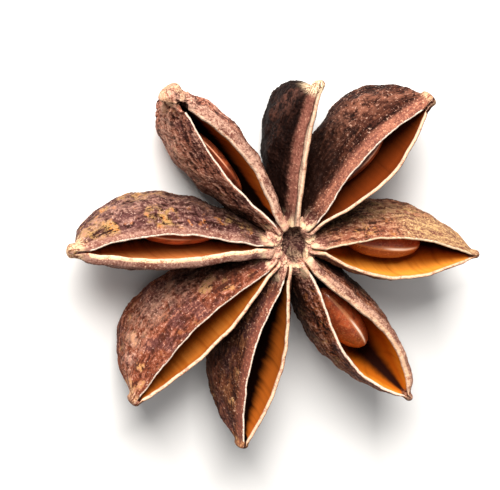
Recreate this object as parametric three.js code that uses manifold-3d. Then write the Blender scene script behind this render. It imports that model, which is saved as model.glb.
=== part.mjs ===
// Star anise pod: the dried, opened fruit of the star anise tree, lying with its open side up.
//
// Eight boat-shaped carpels stand round a short core and are grown together with it, so the
// husk is one woody solid. A ripe carpel splits along its top seam into two lips with a deep,
// smooth cavity between them; one carpel here has stayed shut. Five of the carpels show a
// flat, egg-shaped seed lying loose in the cavity. Underneath, the carpels' backs rest on
// the surface and the core ends in the scar of the broken stalk.
//
// Millimetres, +Z up, the surface it lies on at z = 0. Each carpel is drawn in a frame of its
// own: x runs out from the core's axis to the beak, y to its left, z up.
import * as THREE from 'three';
import { mergeVertices } from 'three/addons/utils/BufferGeometryUtils.js';
import Module from 'manifold-3d';

// The core
const HUB_X = 1.425; // the core's axis, from the middle of the pod's outline
const HUB_Y = 1.375;
const RIM_HEIGHT = 7.45; // top of the ring round the core's pit
const PIT_RADIUS = 1.0;
const PIT_DEPTH = 1.7;
const COLLAR_RADIUS = 2.35; // where the ring falls away between two carpels
const STALK_RADIUS = 1.15;
const STALK_HEIGHT = 2.7; // the scar's height above the surface

// Every carpel
const LIP = 0.3; // thickness of the wall at the seam
const SIDE_WALL = 0.55;
const FLOOR_WALL = 0.8;
const WIDEST_AT = 0.46; // depth of the widest place, as a share of the carpel's depth
const SLIT_START = 2.6; // from the core's axis
const GROOVE_HALF = 0.08; // the seam's groove where the lips meet
const GROOVE_DEPTH = 0.3;
const JOIN = 0.09; // how far neighbours grow into each other beside the core
const RIM_FALL = 0.7; // drop of the seam's inner end into the pit
const RIM_ROUND = 0.9; // length of that drop
const FLESH = 0.15; // what the flank adds to the girth line all along
const BACK_ROUND = 0.85; // below 1, the back is blunter than an ellipse
const FLOOR_ROUND = 0.65; // and so is the cavity's floor
const BULGE = 0.91; // share of a half sine in the cavity's swelling from lip to floor
const CAVITY_ENDS = 0.3; // nearer 0, the cavity stays deep to the ends of its slit
const STERN_START = 0.45; // where the fullness of the stern starts to count, and over what length
const STERN_LENGTH = 0.5;
const CRAG = 0.13; // height of the lumps on a flank
const NOSE = 0.35; // rounded end beyond the last section
const NOSE_DROP = 0.55; // how far its point lies below the seam
const ROOT = 0.1; // rounded end inside the pit's wall
const ROOT_DROP = 2; // how far its point lies below the seam

// Lines of a carpel, as on a boat's plan: [share of the way out, share of the full size]
const DEPTH_LINE = [[0, 0.5], [0.15, 0.62], [0.35, 0.88], [0.6, 1], [0.78, 0.93], [0.9, 0.62], [1, 0.17]];
const GIRTH_LINE = [[0, 0.2], [0.15, 0.54], [0.35, 0.87], [0.56, 1], [0.74, 0.84], [0.89, 0.45], [1, 0.14]];

// Mesh
const STATIONS = 21; // sections along a carpel
const CROWDING = 1.2; // above 1, they stand closer towards the beak
const OUTER_STEPS = 14; // sides of a section's outside, lip to lip
const INNER_STEPS = 8; // sides of its cavity

// The carpels. heading: degrees anticlockwise from +X. reach: from the core's axis to the beak.
// bow: how far the seam's middle lies to the left of a straight line. sway: the beak's turn to
// the left. lift: its rise. shut: its length beyond the slit. gape: widest opening between the
// lips, and peak: where along the slit. crown: rise of the lips halfway out. rims: thickness of
// the left and right lip. bellies: the most that the cavity widens below each. girth, depth: of
// the outside. flanks: fullness of its left and right side. snub: least half width towards the
// beak. lean: how far the back lies to the left of the lips. stern: how full the back stays
// towards the beak. seed: distance out to the seed's middle, where there is one. thick: between
// its flat sides. aside: how far it lies to the left. roll: degrees that its upper edge leans
// to the right.
const TYPICAL = {
  bow: 0, sway: 0, lift: 0.3, shut: 0.55, gape: 2, peak: 0.5, crown: 0.4, rims: [0.3, 0.3],
  bellies: [0.8, 0.8], flanks: [1, 1], snub: 0, lean: 0, stern: 1, thick: 2.3, aside: 0, roll: 0,
};
const CARPELS = {
  e: {
    ...TYPICAL, heading: -8, reach: 16.3, sway: 0.6,
    gape: 3.2, peak: 0.48, crown: 0.7, girth: 5.4, depth: 8.25, lean: 0.6, stern: 0.8,
    flanks: [0.94, 1], seed: 8.7, thick: 3.4, roll: -2,
  },
  ne: {
    ...TYPICAL, heading: 47, reach: 16.4, sway: 0.3, lift: 0.5, shut: 1,
    gape: 2.7, peak: 0.54, crown: 0.8, girth: 5, depth: 7.9, snub: 0.65, lean: 0.9, stern: 1.12,
    seed: 8.7, thick: 2.6,
  },
  n: {
    ...TYPICAL, heading: 90.5, reach: 14.1, sway: -1.3, lift: 0.5,
    gape: 0, crown: 0.2, girth: 2.9, depth: 7.4,
  },
  nw: {
    ...TYPICAL, heading: 129, reach: 18.1, bow: -0.32, sway: 0.2, lift: 0.2, shut: 1.9,
    gape: 1.9, rims: [0.3, 0.7], bellies: [1, 0], girth: 5.4, depth: 8.25,
    flanks: [0.9, 0.92], snub: 0.95, lean: 1.1, stern: 0.74, seed: 8.9, thick: 1.8, aside: 0.35,
  },
  w: {
    ...TYPICAL, heading: 176, reach: 19.1, bow: -0.32, sway: 0.3, shut: 1.3,
    gape: 1.95, peak: 0.55, rims: [0.85, 0.3], girth: 5.4, depth: 8.25, flanks: [1, 0.95],
    lean: -0.2, stern: 0.7, seed: 8.9,
  },
  sw: {
    ...TYPICAL, heading: 224, reach: 17.9, bow: -0.12,
    gape: 2.1, crown: 0.5, girth: 5.2, depth: 8, snub: 0.55, lean: -1.2, stern: 1.2,
  },
  s: {
    ...TYPICAL, heading: 259, reach: 17.4, sway: 0.2, lift: 0.2, shut: 0.35,
    gape: 2.5, crown: 0.5, girth: 4.6, depth: 8.05, lean: -0.5,
  },
  se: {
    ...TYPICAL, heading: 309, reach: 18.1, bow: -0.25, lift: 0.1,
    gape: 3.4, peak: 0.6, rims: [0.7, 0.3], girth: 5.6, depth: 8.2, stern: 0.9,
    seed: 9.5, thick: 3, roll: -12,
  },
};
const ORDER = Object.keys(CARPELS);

// The seeds
const SEED_LENGTH = 6.8;
const SEED_HEIGHT = 4.8;
const SEED_FROM_LIPS = 3.6; // the seed's middle below the lips
const SEED_PITCH = 8; // degrees that its narrow end is raised
const SEED_ROLL = 1.4; // how closely it follows the carpel's lean
const SEED_TAPER = 0.3; // how much narrower it is at the end that faces the core
const SEED_SIDES = 16;
const SEED_RINGS = 10;

const wasm = await Module();
wasm.setup();

const clamp01 = (value) => Math.min(1, Math.max(0, value));
const smooth = (value) => clamp01(value) ** 2 * (3 - 2 * clamp01(value));
const radians = (degrees) => (degrees * Math.PI) / 180;

// The value of a carpel's line at u, on a smooth curve through its points.
function along(line, u) {
  const last = line.length - 1;
  const slope = (i) => {
    const [u0, v0] = line[Math.max(0, i - 1)];
    const [u1, v1] = line[Math.min(last, i + 1)];
    return (v1 - v0) / (u1 - u0);
  };
  let k = 0;
  while (k < last - 1 && u > line[k + 1][0]) k += 1;
  const [u0, v0] = line[k];
  const [u1, v1] = line[k + 1];
  const width = u1 - u0;
  const t = (u - u0) / width;
  const values = v0 * (1 + 2 * t) * (1 - t) ** 2 + v1 * t * t * (3 - 2 * t);
  return values + width * (slope(k) * t * (1 - t) ** 2 - slope(k + 1) * t * t * (1 - t));
}

// Low, uneven lumps of a dried flank, at x along the carpel and w down its side.
function crag(x, w, number) {
  return CRAG * (
    Math.sin(1.9 * x + 1.1 * w + 2.3 * number)
    + 0.7 * Math.sin(3.1 * x - 1.7 * w + 4.1 * number)
    + 0.5 * Math.sin(0.9 * x + 2.9 * w + 1.3 * number)
  );
}

// The seam's height above the surface, at x along a carpel.
function seamHeight(carpel, x) {
  const u = (x - PIT_RADIUS) / (carpel.reach - PIT_RADIUS);
  const fall = RIM_FALL * (1 - smooth((x - PIT_RADIUS) / RIM_ROUND));
  return RIM_HEIGHT - fall + carpel.crown * Math.sin(Math.PI * clamp01(u)) + carpel.lift * u ** 3;
}

// How far a carpel's middle line lies to the left, at u along it.
const swayAt = (carpel, u) => carpel.bow * Math.sin(Math.PI * clamp01(u)) + carpel.sway * u ** 3;

// Depth of a carpel's outside, at u along it.
function depthAt(carpel, u) {
  return carpel.depth * along(DEPTH_LINE, u) * carpel.stern ** smooth((u - STERN_START) / STERN_LENGTH);
}

// The sizes that one section of a carpel shares between its outside and its cavity, at x.
function sectionSizes(carpel, x, wedge) {
  const u = (x - PIT_RADIUS) / (carpel.reach - PIT_RADIUS);
  const s = clamp01((x - SLIT_START) / (carpel.reach - carpel.shut - SLIT_START));
  const skew = Math.log(0.5) / Math.log(carpel.peak);
  const opening = (carpel.gape / 2) * Math.sin(Math.PI * s ** skew);
  const hollow = carpel.gape > 0 ? Math.sin(Math.PI * s) ** CAVITY_ENDS : 0;
  const depth = depthAt(carpel, u);
  const half = Math.max(GROOVE_HALF, opening);
  const girth = (carpel.girth / 2) * along(GIRTH_LINE, u) + FLESH;
  const least = Math.max(half + LIP, carpel.snub * smooth((u - 0.5) / 0.4));
  const width = (side, full) => (
    Math.max(least, Math.min(girth * full, x * Math.tan(wedge[side]) + JOIN))
  );
  return {
    top: seamHeight(carpel, x),
    middle: swayAt(carpel, u),
    lean: carpel.lean * Math.sin(Math.PI * clamp01(u)),
    floor: Math.max(GROOVE_DEPTH, (depth - FLOOR_WALL) * hollow),
    width: { left: width('left', carpel.flanks[0]), right: width('right', carpel.flanks[1]) },
    rim: { left: carpel.rims[0], right: carpel.rims[1] },
    belly: { left: carpel.bellies[0], right: carpel.bellies[1] },
    depth,
    half,
    hollow,
  };
}

// A section's point [y, z], at a width to one side of the middle and a depth below the seam.
function place(size, side, wide, down) {
  const away = side === 'left' ? wide : -wide;
  return [size.middle + away + size.lean * smooth(down / size.depth), size.top - down];
}

// A point of the outside, where way runs from 0 at the lip through 1 at the widest place to 2
// at the keel.
function outside(size, side, way, lump) {
  const width = size.width[side];
  const lip = Math.min(size.half + size.rim[side], width);
  const turn = ((way % 1) * Math.PI) / 2;
  const above = way < 1;
  const wide = above ? lip + (width - lip) * Math.sin(turn) : width * Math.cos(turn) ** BACK_ROUND;
  const share = above ? WIDEST_AT * way : WIDEST_AT + (1 - WIDEST_AT) * Math.sin(turn);
  const down = way < 2 ? size.depth * share : size.depth;
  const craggy = lump(down) * Math.sin((Math.PI * way) / 2) * clamp01(wide);
  return place(size, side, way < 2 ? Math.max(0, wide + craggy) : 0, down);
}

// A point of the cavity, where way runs from 0 at the lip to 1 at the floor's middle.
function inside(size, side, way) {
  const turn = (way * Math.PI) / 2;
  const room = Math.max(0, size.width[side] - SIDE_WALL - size.half);
  const belly = Math.min(size.belly[side], room) * size.hollow;
  const bulge = Math.sin(Math.PI * BULGE * Math.sin(turn));
  const wide = (size.half + belly * bulge) * Math.cos(turn) ** FLOOR_ROUND;
  return place(size, side, wide, size.floor * Math.sin(turn));
}

// One section of a carpel at x: points [y, z] round the outside from the left lip over the back
// to the right lip, then round the cavity from the right lip to the left.
function section(carpel, number, x, wedge) {
  const size = sectionSizes(carpel, x, wedge);
  const fade = smooth((x - SLIT_START) / 2);
  const ring = [];
  for (let i = 0; i <= OUTER_STEPS; i += 1) {
    const way = (4 * i) / OUTER_STEPS;
    const side = way <= 2 ? 'left' : 'right';
    const flank = number * 2 + (side === 'left' ? 0 : 1);
    ring.push(outside(size, side, Math.min(way, 4 - way), (down) => fade * crag(x, down, flank)));
  }
  for (let i = 0; i <= INNER_STEPS; i += 1) {
    const way = (2 * i) / INNER_STEPS;
    ring.push(inside(size, way <= 1 ? 'right' : 'left', Math.min(way, 2 - way)));
  }
  return ring;
}

// A closed mesh over rings of equal length, with each end drawn to a point.
function loft(rings, startPoint, endPoint) {
  const count = rings[0].length;
  const positions = [...rings.flat(2), ...startPoint, ...endPoint];
  const start = rings.length * count;
  const end = start + 1;
  const faces = [];
  for (let j = 0; j < count; j += 1) {
    const next = (j + 1) % count;
    for (let i = 0; i + 1 < rings.length; i += 1) {
      const [a, b] = [i * count + j, i * count + next];
      faces.push(a, b + count, b, a, a + count, b + count);
    }
    faces.push(start, j, next);
    faces.push(end, start - count + next, start - count + j);
  }
  const geometry = new THREE.BufferGeometry();
  geometry.setAttribute('position', new THREE.Float32BufferAttribute(positions, 3));
  geometry.setIndex(faces);
  return geometry;
}

// A three.js geometry as a manifold-3d solid.
function solid(geometry) {
  const bare = geometry.clone();
  bare.deleteAttribute('normal');
  bare.deleteAttribute('uv');
  const merged = mergeVertices(bare, 1e-4);
  return new wasm.Manifold(new wasm.Mesh({
    numProp: 3,
    vertProperties: new Float32Array(merged.attributes.position.array),
    triVerts: new Uint32Array(merged.index.array),
  }));
}

// A manifold-3d solid as a three.js geometry.
function shape(body) {
  const mesh = body.getMesh();
  const geometry = new THREE.BufferGeometry();
  geometry.setAttribute('position', new THREE.Float32BufferAttribute(mesh.vertProperties, 3));
  geometry.setIndex(new THREE.BufferAttribute(mesh.triVerts, 1));
  geometry.computeVertexNormals();
  return geometry;
}

// Half the angle between a carpel and its neighbour on each side.
function wedgeOf(number) {
  const turn = (other) => {
    const next = CARPELS[ORDER[(other + ORDER.length) % ORDER.length]];
    const gap = Math.abs(next.heading - CARPELS[ORDER[number]].heading) % 360;
    return radians(Math.min(gap, 360 - gap) / 2);
  };
  return { left: turn(number + 1), right: turn(number - 1) };
}

function carpelSolid(name, number) {
  const carpel = CARPELS[name];
  const last = carpel.reach - NOSE;
  const rings = [];
  for (let i = 0; i <= STATIONS; i += 1) {
    const x = PIT_RADIUS + (last - PIT_RADIUS) * (1 - (1 - i / STATIONS) ** CROWDING);
    rings.push(section(carpel, number, x, wedgeOf(number)).map(([y, z]) => [x, y, z]));
  }
  const start = [PIT_RADIUS - ROOT, 0, seamHeight(carpel, PIT_RADIUS) - ROOT_DROP];
  const tip = [carpel.reach, swayAt(carpel, 1), seamHeight(carpel, carpel.reach) - NOSE_DROP];
  return solid(loft(rings, start, tip).rotateZ(radians(carpel.heading)));
}

// The core: a ring with a pit in its top, narrowing down to the stalk's scar.
function coreSolid() {
  const top = RIM_HEIGHT;
  const profile = [
    [0, STALK_HEIGHT], [STALK_RADIUS, STALK_HEIGHT], [STALK_RADIUS, STALK_HEIGHT + 0.7],
    [STALK_RADIUS + 0.5, STALK_HEIGHT + 1.4], [COLLAR_RADIUS - 0.2, top - 2.4],
    [COLLAR_RADIUS, top - 1.1], [COLLAR_RADIUS - 0.25, top - 0.5], [PIT_RADIUS + 0.55, top - 0.2],
    [PIT_RADIUS + 0.2, top - 0.35], [PIT_RADIUS, top - 0.9], [PIT_RADIUS - 0.25, top - PIT_DEPTH],
    [0, top - PIT_DEPTH - 0.1],
  ].map(([r, z]) => new THREE.Vector2(r, z));
  return solid(new THREE.LatheGeometry(profile, 24).rotateX(Math.PI / 2));
}

// A block below the surface: what it cuts from the carpels' backs leaves small flat feet.
function groundSolid() {
  const size = 60;
  return solid(new THREE.BoxGeometry(size, size, size).translate(0, 0, -size / 2));
}

function husk() {
  const body = ORDER.map(carpelSolid).reduce((joined, next) => joined.add(next), coreSolid());
  const mesh = new THREE.Mesh(
    shape(body.subtract(groundSolid())),
    new THREE.MeshStandardMaterial({ color: 0x6e4636, roughness: 0.8, metalness: 0 }),
  );
  mesh.name = 'husk';
  return mesh;
}

// A flat, egg-shaped seed on its edge, its narrow end towards the core.
function seed(name) {
  const carpel = CARPELS[name];
  const geometry = new THREE.SphereGeometry(1, SEED_SIDES, SEED_RINGS).rotateZ(Math.PI / 2);
  const point = new THREE.Vector3();
  const position = geometry.attributes.position;
  for (let i = 0; i < position.count; i += 1) {
    point.fromBufferAttribute(position, i);
    const taper = 1 - SEED_TAPER * (1 - point.x) / 2;
    position.setXYZ(
      i,
      (point.x * SEED_LENGTH) / 2,
      (point.y * taper * carpel.thick) / 2,
      (point.z * taper * SEED_HEIGHT) / 2,
    );
  }
  const mesh = new THREE.Mesh(
    shape(solid(geometry)),
    new THREE.MeshStandardMaterial({ color: 0x7a3a1e, roughness: 0.25, metalness: 0 }),
  );
  const u = (carpel.seed - PIT_RADIUS) / (carpel.reach - PIT_RADIUS);
  mesh.position.set(
    carpel.seed,
    swayAt(carpel, u) + carpel.lean * smooth(SEED_FROM_LIPS / depthAt(carpel, u)) + carpel.aside,
    seamHeight(carpel, carpel.seed) - SEED_FROM_LIPS,
  );
  const roll = Math.atan((SEED_ROLL * carpel.lean) / carpel.depth) + radians(carpel.roll);
  mesh.rotation.set(roll, radians(SEED_PITCH), 0);
  mesh.name = `seed_${name}`;
  const turned = new THREE.Group();
  turned.rotation.z = radians(carpel.heading);
  turned.add(mesh);
  return turned;
}

const pod = new THREE.Group();
pod.position.set(HUB_X, HUB_Y, 0);
pod.add(husk());
ORDER.filter((name) => CARPELS[name].seed).forEach((name) => pod.add(seed(name)));

export default pod;
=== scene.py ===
"""Star anise pod: a dried, opened fruit of eight carpels round a short core.

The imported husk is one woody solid, and each seed that shows is another. Here the husk is dressed
as its eight carpels and its core, each a mesh fine enough to hold the wrinkles of the dried skin,
and every seed gets its polished coat. Sizes are millimetres until a mesh is made. Each carpel is
drawn in a frame of its own: x runs out from the core's axis to the beak, y to its left, z up.
"""

from __future__ import annotations

import itertools
import logging
import math
from collections.abc import Mapping, Sequence
from dataclasses import dataclass, field
from enum import Enum, IntEnum

import bpy
import numpy as np
from mathutils import Matrix, Vector

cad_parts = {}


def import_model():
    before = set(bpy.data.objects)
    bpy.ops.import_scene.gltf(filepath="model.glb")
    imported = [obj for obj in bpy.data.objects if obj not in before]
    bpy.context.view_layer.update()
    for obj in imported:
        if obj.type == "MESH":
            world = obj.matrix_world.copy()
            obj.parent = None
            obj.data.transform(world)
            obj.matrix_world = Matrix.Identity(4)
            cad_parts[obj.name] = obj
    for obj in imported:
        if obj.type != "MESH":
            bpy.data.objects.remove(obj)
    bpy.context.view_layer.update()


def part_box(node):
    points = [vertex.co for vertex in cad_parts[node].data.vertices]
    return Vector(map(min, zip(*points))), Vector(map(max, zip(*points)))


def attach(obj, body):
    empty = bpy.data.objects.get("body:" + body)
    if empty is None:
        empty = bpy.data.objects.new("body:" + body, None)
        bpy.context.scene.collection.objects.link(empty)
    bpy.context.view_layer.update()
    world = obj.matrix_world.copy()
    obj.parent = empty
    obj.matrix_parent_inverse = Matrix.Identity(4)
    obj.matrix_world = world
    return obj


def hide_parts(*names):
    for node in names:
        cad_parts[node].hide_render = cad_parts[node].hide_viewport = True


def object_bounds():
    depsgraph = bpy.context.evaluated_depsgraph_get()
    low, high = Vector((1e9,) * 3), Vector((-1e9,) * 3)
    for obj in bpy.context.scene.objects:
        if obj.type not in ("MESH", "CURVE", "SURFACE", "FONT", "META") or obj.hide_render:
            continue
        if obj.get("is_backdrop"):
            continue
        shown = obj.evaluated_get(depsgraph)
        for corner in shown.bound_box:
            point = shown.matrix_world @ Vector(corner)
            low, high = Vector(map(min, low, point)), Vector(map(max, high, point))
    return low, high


log = logging.getLogger("star_anise")

MM = 0.001


# ---------------------------------------------------------------- numbers over whole meshes


def clamp01(value: np.ndarray | float) -> np.ndarray:
    """Return the value held between 0 and 1."""
    return np.clip(value, 0.0, 1.0)


def smooth(value: np.ndarray | float) -> np.ndarray:
    """Return a soft step from 0 to 1 over the same range of values."""
    held = clamp01(value)
    return held * held * (3 - 2 * held)


def between(low: float, high: float, value: np.ndarray) -> np.ndarray:
    """Return a soft step from 0 at low to 1 at high."""
    return smooth((value - low) / (high - low))


def steps(count: int) -> int:
    return count


@dataclass(frozen=True)
class Line:
    """A smooth curve through points, as on a boat's plan.

    Attributes:
        points: Pairs of the share of the way out and the share of the full size.
    """

    points: tuple[tuple[float, float], ...]

    def at(self, way: np.ndarray) -> np.ndarray:
        """Read the curve.

        Args:
            way: Shares of the way out.

        Returns:
            The curve's value at each of them.
        """
        place, value = np.array(self.points).T
        last = len(place) - 1
        before = np.maximum(np.arange(last + 1) - 1, 0)
        after = np.minimum(np.arange(last + 1) + 1, last)
        slope = (value[after] - value[before]) / (place[after] - place[before])
        k = np.clip(np.searchsorted(place, way, side="right") - 1, 0, last - 1)
        width = place[k + 1] - place[k]
        t = (way - place[k]) / width
        held = value[k] * (1 + 2 * t) * (1 - t) ** 2 + value[k + 1] * t * t * (3 - 2 * t)
        return held + width * (slope[k] * t * (1 - t) ** 2 - slope[k + 1] * t * t * (1 - t))


class Draw(IntEnum):
    """What fixes each draw of uneven values. Those of the carpels add the carpel's number."""

    LIPS = 7
    LUMPS = 41
    CREASES = 42
    SPOKES = 43
    KNOTS = 44
    SKIN = 100
    DENTS = 300


class Noise:
    """Smooth uneven values in space, the same on each run."""

    SIZE = 256
    GAIN = 1.7  # brings the values to about -1 to 1
    ROUGH_STEP = 17.3  # how far each layer lies from the one before
    RIDGE_STEP = 9.1

    def __init__(self, seed: int) -> None:
        """Draw the directions at the lattice's corners.

        Args:
            seed: Number that fixes the draw.
        """
        generator = np.random.default_rng(seed)
        self._order = np.tile(generator.permutation(self.SIZE), 2)
        directions = generator.normal(size=(self.SIZE, 3))
        self._directions = directions / np.linalg.norm(directions, axis=1, keepdims=True)

    def at(self, points: np.ndarray) -> np.ndarray:
        """Read the noise.

        Args:
            points: Places, with x, y and z along the last axis.

        Returns:
            A value of about -1 to 1 at each place.
        """
        cell = np.floor(points).astype(int)
        local = points - cell
        fade = local**3 * (local * (local * 6 - 15) + 10)
        total = np.zeros(points.shape[:-1])
        for corner in itertools.product((0, 1), repeat=3):
            at = (cell + corner) % self.SIZE
            index = self._order[self._order[self._order[at[..., 0]] + at[..., 1]] + at[..., 2]]
            along = np.sum(self._directions[index] * (local - corner), axis=-1)
            total += along * np.prod(np.where(corner, fade, 1 - fade), axis=-1)
        return total * self.GAIN

    def rough(self, points: np.ndarray, octaves: int) -> np.ndarray:
        """Add finer and finer noise.

        Args:
            points: Places, with x, y and z along the last axis.
            octaves: How many layers are added, each half the size of the one before.

        Returns:
            A value of about -1 to 1 at each place.
        """
        layers = [self.at(points * 2**k + self.ROUGH_STEP * k) * 0.5**k for k in range(octaves)]
        return np.sum(layers, axis=0)

    def ridged(self, points: np.ndarray, octaves: int) -> np.ndarray:
        """Add finer and finer creases.

        Args:
            points: Places, with x, y and z along the last axis.
            octaves: How many layers are added, each half the size of the one before.

        Returns:
            A value from 0 in the furrows to 1 on the ridges.
        """
        layers = [
            (1 - np.abs(self.at(points * 2**k + self.RIDGE_STEP * k))) ** 2 * 0.5**k
            for k in range(octaves)
        ]
        return np.sum(layers, axis=0) / (2 - 0.5 ** (octaves - 1))


# ---------------------------------------------------------------- meshes


def stand(name: str, data: bpy.types.ID) -> bpy.types.Object:
    """Put a mesh, a lamp or a camera in the scene.

    Args:
        name: The new object's name.
        data: What it shows.

    Returns:
        The object.
    """
    made = bpy.data.objects.new(name, data)
    bpy.context.scene.collection.objects.link(made)
    return made


@dataclass
class Grid:
    """Points in rows and columns that become one closed piece.

    Attributes:
        points: Places in millimetres, rows by columns by 3. The columns close on themselves.
        values: What the finish reads at each point, by name. It reads 0 for a name left out.
        caps: Place of the point that closes each end, before the first row and after the last.
    """

    points: np.ndarray
    values: dict[str, np.ndarray]
    caps: tuple[np.ndarray, np.ndarray]

    def normals(self) -> np.ndarray:
        """Work out the outward directions.

        Returns:
            A direction of length 1 for each point.
        """
        out = np.gradient(self.points, axis=0)
        around = np.roll(self.points, -1, axis=1) - np.roll(self.points, 1, axis=1)
        normal = np.cross(out, around)
        return normal / np.maximum(np.linalg.norm(normal, axis=-1, keepdims=True), 1e-9)

    def piece(self, name: str, turn: Matrix, coat: bpy.types.Material) -> bpy.types.Object:
        """Make the piece.

        Args:
            name: Its name.
            turn: Where it goes, from millimetres in its own frame to metres in the pod's.
            coat: Its material.

        Returns:
            A closed mesh with a map and the values as attributes, nowhere below the surface.
        """
        rows, columns = self.points.shape[:2]
        count = rows * columns
        here = np.arange(count).reshape(rows, columns)
        beyond = np.roll(here, -1, axis=1)
        quads = np.stack([here[:-1], here[1:], beyond[1:], beyond[:-1]], axis=-1).reshape(-1, 4)
        start = np.stack([np.full(columns, count), here[0], beyond[0]], axis=1)
        end = np.stack([np.full(columns, count + 1), beyond[-1], here[-1]], axis=1)
        vertices = np.concatenate([self.points.reshape(-1, 3), np.array(self.caps)])
        mesh = bpy.data.meshes.new(name)
        mesh.from_pydata(vertices.tolist(), [], quads.tolist() + start.tolist() + end.tolist())
        mesh.transform(turn)
        places = np.empty(vertices.size, np.float32)
        mesh.vertices.foreach_get("co", places)
        places[2::3] = np.maximum(places[2::3], 0.0)
        mesh.vertices.foreach_set("co", places)
        self._map(mesh)
        for key, value in self.values.items():
            flat = np.concatenate([value.ravel(), [value[0].mean(), value[-1].mean()]])
            mesh.attributes.new(key, "FLOAT", "POINT").data.foreach_set("value", flat.astype(np.float32))
        mesh.polygons.foreach_set("use_smooth", np.ones(len(mesh.polygons), bool))
        mesh.materials.append(coat)
        mesh.update()
        return stand(name, mesh)

    def _map(self, mesh: bpy.types.Mesh) -> None:
        """Lay the grid out flat, one cell to a face, with the fans along its two ends.

        Args:
            mesh: The mesh, which gets the map.
        """
        rows, columns = self.points.shape[:2]
        row, column = np.indices((rows - 1, columns)).reshape(2, -1)
        ring, one = np.arange(columns), np.ones(columns)
        across = (
            (column, column, column + 1, column + 1),
            (ring + 0.5, ring, ring + 1),
            (ring + 0.5, ring + 1, ring),
        )
        up = (
            (row + 1, row + 2, row + 2, row + 1),
            (0 * one, one, one),
            ((rows + 1) * one, rows * one, rows * one),
        )
        flat = [np.concatenate([np.stack(face, axis=1).ravel() for face in way]) for way in (across, up)]
        places = np.stack(flat, axis=1) / [columns, rows + 1]
        mesh.uv_layers.new(name="grid").uv.foreach_set("vector", places.ravel().astype(np.float32))


# ---------------------------------------------------------------- shaders


class Value:
    """A number or colour in a shader, which takes part in Python sums."""

    def __init__(self, shader: Shader, socket: bpy.types.NodeSocket) -> None:
        """Wrap an output socket of the shader's tree."""
        self.shader = shader
        self.socket = socket

    def _math(self, operation: str, *parts: Value | float, hold: bool = False) -> Value:
        """Return the result of a Math node on these values, in order."""
        settings = {"operation": operation, "use_clamp": hold}
        return self.shader.node("ShaderNodeMath", settings, dict(enumerate(parts)))

    def __add__(self, other: Value | float) -> Value:
        """Return the sum."""
        return self._math("ADD", self, other)

    __radd__ = __add__

    def __sub__(self, other: Value | float) -> Value:
        """Return this less the other."""
        return self._math("SUBTRACT", self, other)

    def __rsub__(self, other: Value | float) -> Value:
        """Return the other less this."""
        return self._math("SUBTRACT", other, self)

    def __mul__(self, other: Value | float) -> Value:
        """Return the product."""
        return self._math("MULTIPLY", self, other)

    __rmul__ = __mul__

    def held(self) -> Value:
        """Return this held between 0 and 1."""
        return self._math("ADD", self, 0.0, hold=True)

    def step(self, low: float, high: float) -> Value:
        """Return a soft step from 0 at low to 1 at high."""
        settings = {"interpolation_type": "SMOOTHSTEP"}
        return self.shader.node("ShaderNodeMapRange", settings, {0: self, 1: low, 2: high})


def paint(chart: str) -> tuple[float, float, float, float]:
    """Turn a paint chart's colour into the renderer's light values.

    Args:
        chart: Six hexadecimal digits, for red, green and blue.

    Returns:
        The colour with full opacity.
    """
    parts = [int(chart[k : k + 2], 16) / 255 for k in (0, 2, 4)]
    light = [p / 12.92 if p <= 0.04045 else ((p + 0.055) / 1.055) ** 2.4 for p in parts]
    return (*light, 1.0)


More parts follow.
